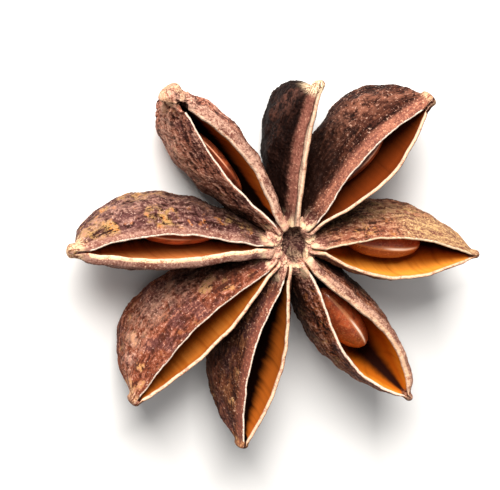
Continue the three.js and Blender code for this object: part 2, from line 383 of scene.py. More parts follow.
class Shader:
    """A material's node tree while it is being written.

    Attributes:
        material: The material.
        tree: Its nodes and their links.
    """

    def __init__(self, name: str) -> None:
        """Start an empty material.

        Args:
            name: The material's name.
        """
        self.material = bpy.data.materials.new(name)
        self.material.use_nodes = True
        self.tree = self.material.node_tree
        self.tree.nodes.clear()

    def node(
        self,
        kind: str,
        settings: Mapping[str, object],
        inputs: Mapping[int | str, object],
        output: int | str = 0,
    ) -> Value:
        """Add one node.

        Args:
            kind: The node's type.
            settings: Its own settings, which are set first.
            inputs: What goes into its sockets, by name or number: other nodes' outputs, plain
                values, or colours of the paint chart.
            output: Which of its outputs is wanted.

        Returns:
            That output.
        """
        made = self.tree.nodes.new(kind)
        for key, setting in settings.items():
            setattr(made, key, setting)
        for key, value in inputs.items():
            if isinstance(value, Value):
                self.tree.links.new(value.socket, made.inputs[key])
            else:
                made.inputs[key].default_value = paint(value) if isinstance(value, str) else value
        return Value(self, made.outputs[output])

    def value(self, name: str) -> Value:
        """Return the number that the mesh holds under this name."""
        return self.node("ShaderNodeAttribute", {"attribute_name": name}, {}, "Fac")

    def noise(
        self,
        per_mm: float,
        detail: float = 3.0,
        rough: float = 0.55,
        bend: float = 0.0,
        drift: float = 0.0,
    ) -> Value:
        """Write uneven values.

        Args:
            per_mm: About how many swells there are to a millimetre.
            detail: How many finer layers are added.
            rough: How strong they are.
            bend: How far the swells are bent.
            drift: How far they are moved towards +X, in millimetres.

        Returns:
            Values of 0 to 1.
        """
        at = self.node("ShaderNodeTexCoord", {}, {}, "Object")
        if drift:
            shift = {0: at, 1: (-drift * MM, 0.0, 0.0)}
            at = self.node("ShaderNodeVectorMath", {"operation": "ADD"}, shift)
        inputs = {"Vector": at, "Scale": per_mm / MM, "Detail": detail}
        return self.node("ShaderNodeTexNoise", {}, inputs | {"Roughness": rough, "Distortion": bend})

    def streaks(self, along: Value, down: Value) -> Value:
        """Write uneven values that run in fine lines.

        Args:
            along: How many swells there are across the lines up to here.
            down: How many there are along the lines.

        Returns:
            Values of 0 to 1.
        """
        at = self.node("ShaderNodeCombineXYZ", {}, {0: along, 1: down})
        inputs = {"Vector": at, "Scale": 1.5, "Detail": 3.0, "Roughness": 0.55}
        return self.node("ShaderNodeTexNoise", {}, inputs)

    def mix(self, share: Value, low: Value | str, high: Value | str) -> Value:
        """Return the colour that lies this share of the way from low to high."""
        return self.node("ShaderNodeMix", {"data_type": "RGBA"}, {0: share, 6: low, 7: high}, 2)

    def over(self, colour: Value | str, *coats: tuple[Value, Value | str]) -> Value:
        """Lay coats over a colour, in order.

        Args:
            colour: What lies below.
            coats: How much each coat covers, and its colour.

        Returns:
            The colour that shows.
        """
        for share, coat in coats:
            colour = self.mix(share, colour, coat)
        return colour

    def blend(self, share: Value, low: Value | float, high: Value | float) -> Value:
        """Return the number that lies this share of the way from low to high."""
        return self.node("ShaderNodeMix", {"data_type": "FLOAT"}, {0: share, 2: low, 3: high})

    def bump(self, height: Value, distance: float) -> Value:
        """Return a normal for a surface raised by this height, at most this many millimetres."""
        inputs = {"Height": height, "Distance": distance * MM, "Strength": 1.0}
        return self.node("ShaderNodeBump", {}, inputs)

    def surface(self, inputs: Mapping[str, object]) -> bpy.types.Material:
        """Close the material.

        Args:
            inputs: What goes into its surface shader.

        Returns:
            The finished material.
        """
        shader = self.node("ShaderNodeBsdfPrincipled", {}, inputs)
        made = self.tree.nodes.new("ShaderNodeOutputMaterial")
        self.tree.links.new(shader.socket, made.inputs["Surface"])
        return self.material


class HuskShader(Shader):
    """A husk's material, with the values that the parts of its finish share.

    Attributes:
        across: Distance in from a lip's outer edge, in widths of its pale part.
        deep: How deep a place lies, as a share of the depth.
        inner: 1 in the cavity, 0 elsewhere.
        out: Share of the way out to the beak.
        grain: Middling unevenness.
        fine: Fine unevenness.
        thread: Streaks that run outwards along the flank.
        streak: Streaks that run down the cavity's walls.
        blotch: Large blotches.
        spot: Small spots.
        bark: From the furrows to the top of the wrinkles.
        fleck_and_glint: Small pale flecks, partly the skin's own specks and partly painted glints.
    """

    def __init__(self, name: str, drift: float) -> None:
        """Start the material and write the values.

        Args:
            name: The material's name.
            drift: How far the blotches are moved towards +X, in millimetres.
        """
        super().__init__(name)
        self.across, self.deep = self.value("across"), self.value("deep")
        self.inner, self.out = self.value("inner"), self.value("out")
        relief = self.value("relief")
        self.grain = self.noise(4.4, detail=3.0, rough=0.62)
        self.fine = self.noise(9.0, detail=2.0)
        self.thread = self.streaks(self.out * 5.0, self.deep * 17.0)
        self.streak = self.streaks(self.out * 22.0, self.deep * 1.2)
        self.blotch = self.noise(0.42, detail=2.5, bend=0.5, drift=drift)
        self.spot = self.noise(1.4, detail=1.5)
        bark = (relief - 0.5) * 0.7 + (self.grain - 0.5) * 1.2 + (self.thread - 0.5) * 2.2
        self.bark = (bark + (self.fine - 0.5) * 1.1 + 0.5).held()
        # Small pale flecks: partly the skin's own specks, partly painted glints.
        self.fleck_and_glint = (self.grain * 0.5 + self.fine * 0.5 + (relief - 0.5) * 0.04).step(0.58, 0.64)


@dataclass(frozen=True)
class HuskFinish:
    """The dried husk: wrinkled skin outside, satin walls inside and pale, corky lips.

    Attributes:
        furrow: Colour in the skin's furrows, and of the painted shade on the skin near the core.
        skin: Colour of the skin.
        ridge: Colour on top of its wrinkles.
        fleck_and_glint: Colour of its small pale flecks, partly its own specks and partly painted glints.
        bloom: Colour where the skin keeps its bloom.
        patch: Colour where it is worn down to the fibre.
        worn: How much of the skin is worn.
        flesh: Colour of the paler band below a lip.
        rim: Colour of the lips.
        edge: Colour of the painted highlight along a thin lip and along the inner edge of every lip.
        beak: Colour of a pale beak.
        wall: Colour of the cavity's walls near the lips.
        painted_wall_light: Colour of the painted light on the walls just below the lips, where they are
            brightest.
        floor: Colour of the painted shade deep in the cavity, also laid in faint streaks down the walls.
        shade: How deep on the walls the floor's painted shade begins.
        fade: Over what part of the depth it takes over.
        core_shade_reach: The share of the way out to which painted shade darkens the skin from the core,
            more so lower down the flank.
        drift: How far the blotches are moved towards +X, in millimetres.
    """

    furrow: str = "26120d"
    skin: str = "764637"
    ridge: str = "a67560"
    fleck_and_glint: str = "d0ae9a"
    bloom: str = "4c2d2b"
    patch: str = "b4895a"
    worn: float = 0.3
    flesh: str = "a87867"
    rim: str = "cda688"
    edge: str = "ecdccb"
    beak: str = "c4a27e"
    wall: str = "a5561a"
    painted_wall_light: str = "c98030"
    floor: str = "1e0a04"
    shade: float = 0.35
    fade: float = 0.35
    core_shade_reach: float = 0.4
    drift: float = 0.0

    RUST = "a8642e"  # spots where it is worn
    SPECKS = "63392f"  # in the band below a lip
    CORK = "96624a"  # fibres of a lip
    CREASES = "6e4232"  # of a beak
    RING = ("6e4038", "c69880", "dcc29a")  # round the core's pit: furrows, skin and pale spots
    # painted shade down in the core's pit
    PIT = "341c1a"
    CREVICE = "150805"  # painted shade between two carpels

    def material(self, name: str) -> bpy.types.Material:
        """Write the material.

        Args:
            name: The material's name.

        Returns:
            A material that reads the mesh's values across, band, below, crevice, deep, hub,
            inner, out, pit, relief, thin and tip.
        """
        s = HuskShader(name, self.drift)
        band = s.value("band")
        lip = (s.across + (s.grain - 0.5) * 1.2).step(1.25, 0.85) * s.across.step(-1.0, -0.4)
        # Painted shade: the skin darkens near the core and lower down the flank, in the furrows' colour.
        core_shade = s.out.step(self.core_shade_reach, self.core_shade_reach * 0.25) * s.value("below").step(0.2, 1.6)
        colour = s.over(
            self._skin(s),
            ((band + (s.grain - 0.5) * 0.8 * band).held(), self._flesh(s)),
            (core_shade * (1.15 - s.bark * 0.5), self.furrow),
            ((s.value("hub") * 0.85).held(), self._ring(s)),
            # Painted shade in the crevices between carpels and lower down the core's sides.
            ((s.value("crevice") * (1.1 - s.bark * 0.3)).held() * 0.9, self.CREVICE),
            (s.inner, self._wall(s)),
            (lip, self._lip(s)),
            ((s.value("tip") * (0.4 + s.spot * 1.2)).held(), self._beak(s)),
            # Painted shade down in the core's pit.
            ((s.value("pit") * (1.25 - s.bark * 0.7)).held(), self.PIT),
        )
        gloss = s.blend(s.inner, 0.62, 0.5 + s.deep * 0.25)
        height = s.blend(s.inner, s.grain * 0.8 + s.fine * 0.25, s.streak * 0.2 + s.fine * 0.08)
        return s.surface(
            {
                "Base Color": colour,
                "Roughness": s.blend(lip, gloss, 0.6) + (s.fine - 0.5) * 0.2,
                "Normal": s.bump(height, 0.1),
                "Specular IOR Level": 0.04,
            }
        )

    def _skin(self, s: HuskShader) -> Value:
        """Write the skin's colour.

        Args:
            s: The material that is being written.

        Returns:
            The colour.
        """
        fibre = (s.blotch - 0.5) + (s.spot - 0.5) * 0.6 + (self.worn * 0.24 - 0.04)
        skin = s.over(
            self.skin,
            (s.blotch.step(0.5, 0.38) * 0.8, self.bloom),
            (fibre.step(0.1, 0.26) * 0.7, self.patch),
            (s.spot.step(0.58, 0.72) * max(0.0, self.worn) * 1.6, self.RUST),
        )
        # Paler specks halfway down a flank: partly the skin's own rubbed specks, partly painted light that
        # lifts the flank where it turns away from the light towards its outline.
        half_down = s.deep.step(0.2, 0.4) * s.deep.step(0.75, 0.5)
        rubbed_and_lit = half_down * (s.grain * 0.5 + s.spot * 0.5).step(0.4, 0.6)
        return s.over(
            s.mix(s.bark.step(0.05, 0.48), self.furrow, skin),
            (s.bark.step(0.52, 0.95) * 0.85, self.ridge),
            (rubbed_and_lit * 0.5, self.flesh),
            (s.fleck_and_glint * 0.4, self.fleck_and_glint),
        )

    def _flesh(self, s: HuskShader) -> Value:
        """Return the colour of the band below a lip."""
        dots = (s.grain * 0.35 + s.thread * 0.35 + s.fine * 0.3).step(0.42, 0.58)
        # The band's pale flecks are partly its own specks, partly painted glints.
        return s.mix(s.fleck_and_glint * 0.6, s.mix(dots, self.SPECKS, self.flesh), self.rim)

    def _ring(self, s: HuskShader) -> Value:
        """Write the colour of the ring round the core's pit.

        Args:
            s: The material that is being written.

        Returns:
            The colour.
        """
        furrow, skin, pale = self.RING
        ring = s.mix((s.bark * 0.5 + s.spot * 0.5).step(0.34, 0.58), furrow, skin)
        return s.mix(s.spot.step(0.5, 0.6) * 0.6, ring, pale)

    def _wall(self, s: HuskShader) -> Value:
        """Write the colour of the cavity's walls, with painted light below the lips and painted shade deeper
        down.

        Args:
            s: The material that is being written.

        Returns:
            The colour.
        """
        depth = (s.deep + (s.streak - 0.5) * 0.15).held()
        return s.over(
            # Painted light near the lips, then the wall's own colour, then painted shade towards the floor.
            s.mix(depth.step(0.05, self.shade), self.painted_wall_light, self.wall),
            (depth.step(self.shade, self.shade + self.fade), self.floor),
            (s.streak.step(0.5, 0.75) * 0.2, self.floor),
        )

    def _lip(self, s: HuskShader) -> Value:
        """Write the colour of the lips, with their painted highlight.

        Args:
            s: The material that is being written.

        Returns:
            The colour.
        """
        fibres = s.spot * 0.5 + s.grain * 0.5 + (s.fine - 0.5) * 0.5
        pale = s.mix(fibres.step(0.34, 0.52), self.CORK, self.rim)
        # Painted highlight: thin lips whiten, and every lip a little along its inner edge.
        return s.mix(s.value("thin") * 0.7 + s.across.step(0.6, 0.2) * 0.15, pale, self.edge)

    def _beak(self, s: HuskShader) -> Value:
        """Return the colour of the beak."""
        return s.mix(s.bark.step(0.2, 0.6), self.CREASES, self.beak)


@dataclass(frozen=True)
class SeedFinish:
    """A seed's hard, polished coat.

    Attributes:
        coat: Colour of the coat.
        under: Its colour on the right side; where that is darker than the coat, it is painted shade.
        shade: Colour of its darker streaks.
        ridge: Colour along its edge.
        glint: Colour of the painted highlight, a bright line along the edge's outer half.
    """

    coat: str = "b4552e"
    under: str = "b4552e"
    shade: str = "74301c"
    ridge: str = "c98a5c"
    glint: str = "f0d2bc"

    BUTT = "a8531c"  # its blunt end

    def material(self, name: str) -> bpy.types.Material:
        """Write the material.

        Args:
            name: The material's name.

        Returns:
            A material that reads the seed's values: keel, along and right.
        """
        s = Shader(name)
        keel, along = s.value("keel"), s.value("along")
        cloud = s.noise(0.9, detail=3.0, rough=0.6, bend=0.8)
        fine = s.noise(8.0, detail=2.0)
        # The right side may take painted shade.
        coat = s.mix(s.value("right"), self.coat, self.under)
        # Painted highlight along the keel's outer half.
        glint = keel.step(0.5, 0.9) * along.step(0.35, 0.55) * along.step(0.93, 0.8)
        colour = s.over(
            s.mix(cloud.step(0.35, 0.7), self.shade, coat),
            ((fine - 0.5).step(0.06, 0.14) * 0.4, self.ridge),
            (keel.step(0.05, 0.5) * 0.5, self.ridge),
            (glint, self.glint),
            (along.step(0.9, 0.98) * 0.7, self.BUTT),
        )
        return s.surface(
            {
                "Base Color": colour,
                "Roughness": 0.36 + (cloud - 0.5) * 0.3 - keel.step(0.3, 0.9) * 0.2,
                "Normal": s.bump(cloud * 0.5 + fine * 0.3, 0.06),
                "Specular IOR Level": 0.35,
                "Coat Weight": 0.22,
                "Coat Roughness": 0.14,
            }
        )


@dataclass(frozen=True)
class FloorFinish:
    """The studio's pale, matt floor.

    Attributes:
        coat: Its colour.
        faded: Its colour where it is a little duller.
    """

    coat: str = "e6e4e2"
    faded: str = "e3e1df"

    def material(self, name: str) -> bpy.types.Material:
        """Write the material.

        Args:
            name: The material's name.

        Returns:
            A matt material.
        """
        s = Shader(name)
        colour = s.mix(s.noise(0.01, detail=2.0), self.faded, self.coat)
        return s.surface({"Base Color": colour, "Roughness": 0.65})


# ---------------------------------------------------------------- the husk


class Seam(Enum):
    """Whether a carpel's top seam has split."""

    OPEN = "open"
    SHUT = "shut"


@dataclass(frozen=True)
class Knob:
    """The rounded end of a beak.

    Attributes:
        wide: Half its width.
        tall: Half its height.
        low: Its middle below the lips.
        start: Where the carpel begins to take its shape, from the end.
        neck: How much narrower it is just before the end.
        pale: How pale it is.
    """

    wide: float
    tall: float
    low: float
    start: float
    neck: float
    pale: float


class Beak(Enum):
    """How a carpel ends."""

    POINT = Knob(0.34, 0.5, 0.42, 1.5, 0.0, 0.3)
    NUB = Knob(0.58, 0.62, 0.5, 1.9, 0.24, 0.9)
    BUD = Knob(0.52, 0.55, 0.42, 1.7, 0.3, 0.9)
    STUB = Knob(0.52, 0.8, 0.7, 1.3, 0.0, 0.35)
    SNOUT = Knob(0.68, 0.85, 0.72, 0.9, 0.0, 0.6)
    GNARLED = Knob(0.98, 0.85, 0.7, 2.2, 0.0, 0.45)


@dataclass(frozen=True)
class Core:
    """The short core that the carpels stand round.

    Attributes:
        x: Its axis, from the middle of the pod's outline.
        y: The same, the other way.
        rim_height: Top of the ring round its pit.
        pit: Radius of the pit.
        pit_depth: Depth of the pit.
        stretch: How much longer the pit is than round, as a share of its radius.
        stretch_way: Degrees anticlockwise from +X that it is longest.
        aside: How far the pit lies from the core's axis.
        aside_way: Degrees anticlockwise from +X that it lies that way.
        collar: Radius where the ring falls away between two carpels.
        stalk: Radius of the stalk's scar.
        stalk_height: The scar's height above the surface.
        rows: Points along the profile.
        columns: Points round it.
    """

    x: float = 1.425
    y: float = 1.375
    rim_height: float = 7.45
    pit: float = 1.0
    pit_depth: float = 1.2
    stretch: float = 0.52
    stretch_way: float = 106.0
    aside: float = 0.26
    aside_way: float = 20.0
    collar: float = 2.35
    stalk: float = 1.15
    stalk_height: float = 2.7
    rows: int = 120
    columns: int = 160

    LUMP = 0.16  # height of its lumps and of its creases
    SPOKE = 0.14  # height of the swellings round the pit
    KNOT = 0.12  # height of the small knots on them
    PIT_EDGE = 1.9  # where the pit's form ends, as a share of its radius
    LUMP_SWELLS = (1.9, 1.9, 0.8)  # how many there are round the core and up it
    CREASE_SWELLS = (3.1, 3.1, 1.6)
    SPOKE_SWELLS = (3.4, 3.4, 0.4)
    KNOT_SWELLS = (5.0, 5.0, 1.0)
    CREVICE = (0.6, 2.0)  # depths below the ring over which the shade between carpels grows
    PIT_SHADE = (0.35, 0.95)  # and the pit's shade
    PIT_SHADE_END = 1.7  # where that ends, as a share of the pit's radius

    def place(self) -> Matrix:
        """Find where the core's axis stands.

        Returns:
            The way from millimetres on that axis to metres in the pod's frame.
        """
        low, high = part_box("husk")
        middle = Vector(((low[0] + high[0]) / 2, (low[1] + high[1]) / 2, 0.0))
        return Matrix.Translation(middle + Vector((self.x, self.y, 0.0)) * MM) @ Matrix.Scale(MM, 4)

    def pit_at(self, heading: float) -> float:
        """Return how far the pit's edge is from the core's axis towards this heading, in degrees."""
        longer = self.stretch * max(0, math.cos(2 * math.radians(heading - self.stretch_way)))
        return self.pit * (1 + longer) + self.aside * math.cos(math.radians(heading - self.aside_way))

    def profile(self) -> np.ndarray:
        """Draw the core's outline.

        Returns:
            Radius and height of each point, from the scar's middle up to the pit's.
        """
        top = self.rim_height
        corners = [
            (0.02, self.stalk_height + 0.25),
            (self.stalk * 0.6, self.stalk_height + 0.12),
            (self.stalk, self.stalk_height),
            (self.stalk + 0.05, self.stalk_height + 0.7),
            (self.stalk + 0.5, self.stalk_height + 1.4),
            (self.collar - 0.2, top - 2.4),
            (self.collar, top - 1.1),
            (self.collar - 0.25, top - 0.5),
            (self.pit + 0.55, top - 0.2),
            (self.pit + 0.2, top - 0.35),
            (self.pit, top - 0.9),
            (self.pit - 0.25, top - self.pit_depth),
            (0.02, top - self.pit_depth - 0.1),
        ]
        share = np.linspace(0, 1, len(corners))
        even = np.linspace(0, 1, self.rows)
        lines = [Line(tuple(zip(share, part, strict=True))) for part in np.array(corners).T]
        return np.stack([line.at(even) for line in lines], axis=1)

    def build(self) -> bpy.types.Object:
        """Build the core with its lumps, creases and corky scar.

        Returns:
            The core's object.
        """
        radius, height = self.profile().T[:, :, None]
        angle = np.linspace(0, 2 * math.pi, self.columns, endpoint=False)[None, :]
        around = np.stack(np.broadcast_arrays(np.cos(angle), np.sin(angle), height), axis=-1)
        lumps = Noise(Draw.LUMPS).rough(around * self.LUMP_SWELLS, 3)
        creases = Noise(Draw.CREASES).ridged(around * self.CREASE_SWELLS, 3)
        spokes = Noise(Draw.SPOKES).at(around * self.SPOKE_SWELLS)
        knots = Noise(Draw.KNOTS).rough(around * self.KNOT_SWELLS * radius[..., None], 2)
        upper = height > self.rim_height - 2 * self.pit_depth
        outward = between(self.pit, self.pit * self.PIT_EDGE, radius)
        longest = np.maximum(0, np.cos(2 * (angle - math.radians(self.stretch_way))))
        oval = self.stretch * longest * upper * (1 - outward)
        rough = self.LUMP * lumps + self.LUMP * (creases - 0.6)
        swell = 1 + oval + rough * smooth(radius / 0.8)
        shift = self.aside * (1 - between(self.pit, self.collar, radius)) * upper
        x = radius * swell * np.cos(angle) + shift * math.cos(math.radians(self.aside_way))
        y = radius * swell * np.sin(angle) + shift * math.sin(math.radians(self.aside_way))
        ledge = between(0.1, 0.6, radius) * upper
        knobs = (self.SPOKE * spokes + self.KNOT * knots) * ledge
        z = height + self.LUMP * lumps * smooth(radius / 0.5) + knobs
        points = np.stack(np.broadcast_arrays(x, y, z), axis=-1)
        below = self.rim_height - z
        inward = 1 - between(self.pit, self.pit * self.PIT_SHADE_END, radius)
        # crevice and pit are painted shade: darker lower down between the carpels and down in the pit.
        values = {
            "across": np.full(z.shape, 9.0),
            "crevice": between(*self.CREVICE, below) * outward,
            "relief": creases,
            "hub": np.ones(z.shape),
            "pit": between(*self.PIT_SHADE, below) * inward,
        }
        grid = Grid(points, values, (points[0].mean(axis=0), points[-1].mean(axis=0)))
        return grid.piece("core", self.place(), HuskFinish(worn=0.2).material("core_husk"))


@dataclass(frozen=True)
class Spot:
    """Where a carpel stands in the pod.

    Attributes:
        core: The core that it stands against.
        wedges: Half the angle to the neighbour on the left and on the right, in radians.
        number: Its place among the carpels, which fixes its unevenness.
    """

    core: Core
    wedges: tuple[float, float]
    number: int


@dataclass(frozen=True)
class Carpel:
    """One boat-shaped carpel.

    Attributes:
        name: Its compass point.
        heading: Degrees anticlockwise from +X.
        reach: From the core's axis to the beak.
        girth: Width of the outside.
        depth: Depth of the outside.
        gape: Widest opening between the lips.
        peak: Where along the slit that is.
        bow: How far the seam's middle lies to the left of a straight line.
        sway: The beak's turn to the left.
        lift: The beak's rise.
        shut: Its length beyond the slit.
        crown: Rise of the lips halfway out.
        rims: Thickness of the left and right lip.
        lips: Width of the pale part of the left and right lip.
        bands: How far down a paler band follows the left and right lip.
        band_start: The share of the way out where it begins.
        bellies: The most that the cavity widens below the left and right lip.
        flanks: Fullness of its left and right side.
        snub: Least half width towards the beak.
        lean: How far the back lies to the left of the lips.
        stern: How full the back stays towards the beak.
        seed: Distance out to the seed's middle, where there is one.
        thick: Thickness of that seed between its flat sides.
        aside: How far it lies to the left.
        roll: Degrees that its upper edge leans to the right.
        seam: Whether it has split.
        beak: How it ends.
        finish: Its colours.
        coat: Its seed's.
    """

    name: str
    heading: float
    reach: float
    girth: float
    depth: float
    gape: float = 2.0
    peak: float = 0.5
    bow: float = 0.0
    sway: float = 0.0
    lift: float = 0.3
    shut: float = 0.55
    crown: float = 0.4
    rims: tuple[float, float] = (0.3, 0.3)
    lips: tuple[float, float] = (0.22, 0.28)
    bands: tuple[float, float] = (0.0, 0.0)
    band_start: float = 0.1
    bellies: tuple[float, float] = (0.8, 0.8)
    flanks: tuple[float, float] = (1.0, 1.0)
    snub: float = 0.0
    lean: float = 0.0
    stern: float = 1.0
    seed: float | None = None
    thick: float = 2.3
    aside: float = 0.0
    roll: float = 0.0
    seam: Seam = Seam.OPEN
    beak: Beak = Beak.POINT
    finish: HuskFinish = field(default_factory=HuskFinish)
    coat: SeedFinish = field(default_factory=SeedFinish)

    RIM_FALL = 0.7  # drop of the seam's inner end into the pit
    RIM_ROUND = 0.9  # length of that drop
    STERN_START = 0.45  # where the fullness of the stern starts to count, and over what length
    STERN_LENGTH = 0.5
    DEPTH_LINE = Line(
        ((0, 0.5), (0.15, 0.62), (0.35, 0.88), (0.6, 1), (0.78, 0.93), (0.9, 0.62), (1, 0.17))
    )

    def share(self, x: np.ndarray, core: Core) -> np.ndarray:
        """Return the share of the way out at these distances."""
        return (x - core.pit) / (self.reach - core.pit)

    def seam_height(self, x: np.ndarray, core: Core) -> np.ndarray:
        """Work out the seam's height.

        Args:
            x: Distances out from the core's axis.
            core: The core that the carpel stands against.

        Returns:
            The height above the surface at each of them.
        """
        u = self.share(x, core)
        fall = self.RIM_FALL * (1 - smooth((x - core.pit) / self.RIM_ROUND))
        rise = self.crown * np.sin(math.pi * clamp01(u)) + self.lift * u**3
        return core.rim_height - fall + rise

    def middle_at(self, u: np.ndarray) -> np.ndarray:
        """Return how far the seam lies to the left at these shares of the way."""
        return self.bow * np.sin(math.pi * clamp01(u)) + self.sway * u**3

    def depth_at(self, u: np.ndarray) -> np.ndarray:
        """Return the depth of the outside at these shares of the way."""
        fullness = self.stern ** smooth((u - self.STERN_START) / self.STERN_LENGTH)
        return self.depth * self.DEPTH_LINE.at(u) * fullness

    def build(self, spot: Spot) -> bpy.types.Object:
        """Build and dress the carpel.

        Args:
            spot: Where it stands.

        Returns:
            The carpel's object.
        """
        name = f"carpel_{self.name}"
        turn = spot.core.place() @ Matrix.Rotation(math.radians(self.heading), 4, "Z")
        return CarpelShape(self, spot).draw().piece(name, turn, self.finish.material(f"{name}_husk"))


class Zone(IntEnum):
    """The parts of a carpel's section."""

    FLANK = 0
    LIP = 1
    WALL = 2


class CarpelShape:
    """A carpel while it is being drawn, with one row of sizes and of points for each section.

    Attributes:
        carpel: What is drawn.
        spot: Where it stands.
        x: Distance out from the core's axis.
        u: The same as a share of the carpel's length.
        top: The seam's height.
        middle: How far the seam lies to the left.
        lean: How far the back lies to the left of the seam.
        depth: Depth of the outside.
        half: Half the opening between the lips.
        hollow: How nearly the cavity is full size.
        floor: Depth of the cavity.
        widths: Half width of the outside, left and right.
        away: How far each point lies to the left of the seam.
        down: How far it lies below the seam.
        zone: The part that it is on.
        side: 0 on the left, 1 on the right.
        grid: The carpel as drawn so far.
    """

    LIP = 0.3  # thickness of the wall at the seam
    SIDE_WALL = 0.55
    FLOOR_WALL = 0.8
    WIDEST_AT = 0.46  # depth of the widest place, as a share of the carpel's depth
    SLIT_START = 2.6  # from the core's axis
    GROOVE_HALF = 0.08  # the seam's groove where the lips meet
    GROOVE_DEPTH = 0.3
    JOIN = 0.09  # how far neighbours grow into each other beside the core
    FLESH = 0.15  # what the flank adds to the girth line all along
    BACK_ROUND = 0.85  # below 1, the back is blunter than an ellipse
    FLOOR_ROUND = 0.65  # and so is the cavity's floor
    BULGE = 0.91  # share of a half sine in the cavity's swelling from lip to floor
    CAVITY_ENDS = 0.3  # nearer 0, the cavity stays deep to the ends of its slit
    SNUB_START = 0.5  # where the least half width starts to count, and over what length
    SNUB_LENGTH = 0.4
    CREST = 0.25  # height of a lip's rounded top, as a share of its thickness
    CRAG = 0.07  # height of the low lumps on a flank, below the wrinkles
    CRAG_WAVES = ((1.0, 1.9, 1.1, 2.3), (0.7, 3.1, -1.7, 4.1), (0.5, 0.9, 2.9, 1.3))
    NOSE = 0.35  # rounded end beyond the last section
    SUNK = 0.3  # how far the first section lies outside the pit's edge
    ROOT_DROP = 2.0  # how far the point of the inner end lies below the seam
    NECK_AT = 1.35  # where a knob's neck is narrowest, from the beak's end
    NECK_LENGTH = 0.4
    GIRTH_LINE = Line(
        ((0, 0.2), (0.15, 0.54), (0.35, 0.87), (0.56, 1), (0.74, 0.84), (0.89, 0.45), (1, 0.14))
    )

    LIP_DEPTH = 0.15  # how far a lip's pale part reaches down the wall
    MOUTH = (1.9, 2.9)  # distances from the core's axis between which the cavity's finish begins
    MOUTH_END = 0.5  # over what length it ends at the slit's end
    BAND_LENGTH = 0.15  # share of the way out over which a paler band begins
    BAND_EDGE = (-0.3, 0.35)  # and over what depths it ends, from its own
    CREVICE_DEPTH = (0.1, 2.2)  # depths over which the shade between neighbours grows
    CREVICE_ROOM = (0.1, 2.4)  # and room to the neighbour over which it ends
    HUB = (2.0, 3.4)  # distances from the core's axis over which the ring's finish ends
    HUB_DEPTH = (0.3, 1.5)  # and the depths
    THIN = (0.17, 0.24)  # width of the pale part up to which a lip is thin and takes the painted highlight, and from which not
    TIP = (0.45, 0.8)  # where the beak's finish ends, as shares of the knob's start

    WAVE = 0.7  # swells of a lip to a millimetre, and how far they sway and rise
    WAVE_SWAY = 0.09
    WAVE_RISE = 0.08
    RIPPLE = 2.6  # the same for its finer swells
    RIPPLE_SWAY = 0.02
    RIPPLE_RISE = 0.03
    WAVE_DEPTH = 0.9  # how soon both fade with depth
    WAVE_START = 1.5  # where they begin, from the core's axis, and over what length
    WAVE_LENGTH = 2.0

    SKIN_BEND = (0.6, 0.3, 0.5)  # how far the skin's wrinkles are bent
    FOLD_SIZE = (2.2, 0.9, 1.0)  # length, width and depth of its coarse wrinkles
    CREASE_SIZE = 0.45  # of its fine ones
    FOLD_SHARE = 0.4  # what the coarse ones have in the height
    FOLD = 0.19  # height of both
    FOLD_EVEN = 0.62  # the value that leaves the skin where it is
    FOLD_DEPTH = (0.05, 0.7)  # depths below the lip over which they begin
    FOLD_WAY = (1.6, 4.0)  # distances from the core's axis over which they grow to the full
    LUMP_SIZE = 2.4
    LUMP = 0.08  # height of the skin's lumps
    GNARL_SIZE = 1.3  # of a gnarled beak's knobs
    GNARL = 0.75  # their height
    GNARL_SINK = 0.6  # how far the skin sinks between them
    GNARL_WAY = (0.74, 0.9)  # share of the way out over which they grow

    STATIONS = 190
    CROWDING = 1.2  # above 1, they stand closer towards the beak
    NOSE_STATIONS = 10
    FLANK_COLUMNS = 72
    LIP_COLUMNS = 7
    WALL_COLUMNS = 28
    WALL_CROWDING = 1.3  # above 1, they stand closer towards the lip

    def __init__(self, carpel: Carpel, spot: Spot) -> None:
        """Work out the sizes of every section and draw it.

        Args:
            carpel: What is drawn.
            spot: Where it stands.
        """
        self.carpel = carpel
        self.spot = spot
        core, reach = spot.core, carpel.reach
        first, last = core.pit_at(carpel.heading) + self.SUNK, reach - self.NOSE
        way = np.linspace(0, 1, steps(self.STATIONS))[:, None]
        self.x = first + (last - first) * (1 - (1 - way) ** self.CROWDING)
        self.u = carpel.share(self.x, core)
        self.top = carpel.seam_height(self.x, core)
        self.middle = carpel.middle_at(self.u)
        self.lean = carpel.lean * np.sin(math.pi * clamp01(self.u))
        self.depth = carpel.depth_at(self.u)
        slit = clamp01((self.x - self.SLIT_START) / (reach - carpel.shut - self.SLIT_START))
        skew = math.log(0.5) / math.log(carpel.peak)
        split = 1.0 if carpel.seam is Seam.OPEN else 0.0
        opening = split * (carpel.gape / 2) * np.sin(math.pi * slit**skew)
        self.half = np.maximum(self.GROOVE_HALF, opening)
        self.hollow = split * np.sin(math.pi * slit) ** self.CAVITY_ENDS
        self.floor = np.maximum(self.GROOVE_DEPTH, (self.depth - self.FLOOR_WALL) * self.hollow)
        girth = (carpel.girth / 2) * self.GIRTH_LINE.at(self.u) + self.FLESH
        snub = carpel.snub * smooth((self.u - self.SNUB_START) / self.SNUB_LENGTH)
        least = np.maximum(self.half + self.LIP, snub)
        self.widths = [
            np.maximum(least, np.minimum(girth * full, self.x * math.tan(wedge) + self.JOIN))
            for full, wedge in zip(carpel.flanks, spot.wedges, strict=True)
        ]
        self.away, self.down, self.zone = self._outline()
        self.side = (self.away < 0).astype(int)
        lean = self.lean * smooth(self.down / self.depth)
        x = np.broadcast_to(self.x, lean.shape)
        points = np.stack([x, self.middle + self.away + lean, self.top - self.down], axis=-1)
        root = np.array([self.x[0, 0] - self.SUNK, 0, self.top[0, 0] - self.ROOT_DROP])
        end = np.array([reach, carpel.middle_at(1.0), self.top[-1, 0] - carpel.beak.value.low])
        self.grid = Grid(points, self._values(), (root, end))

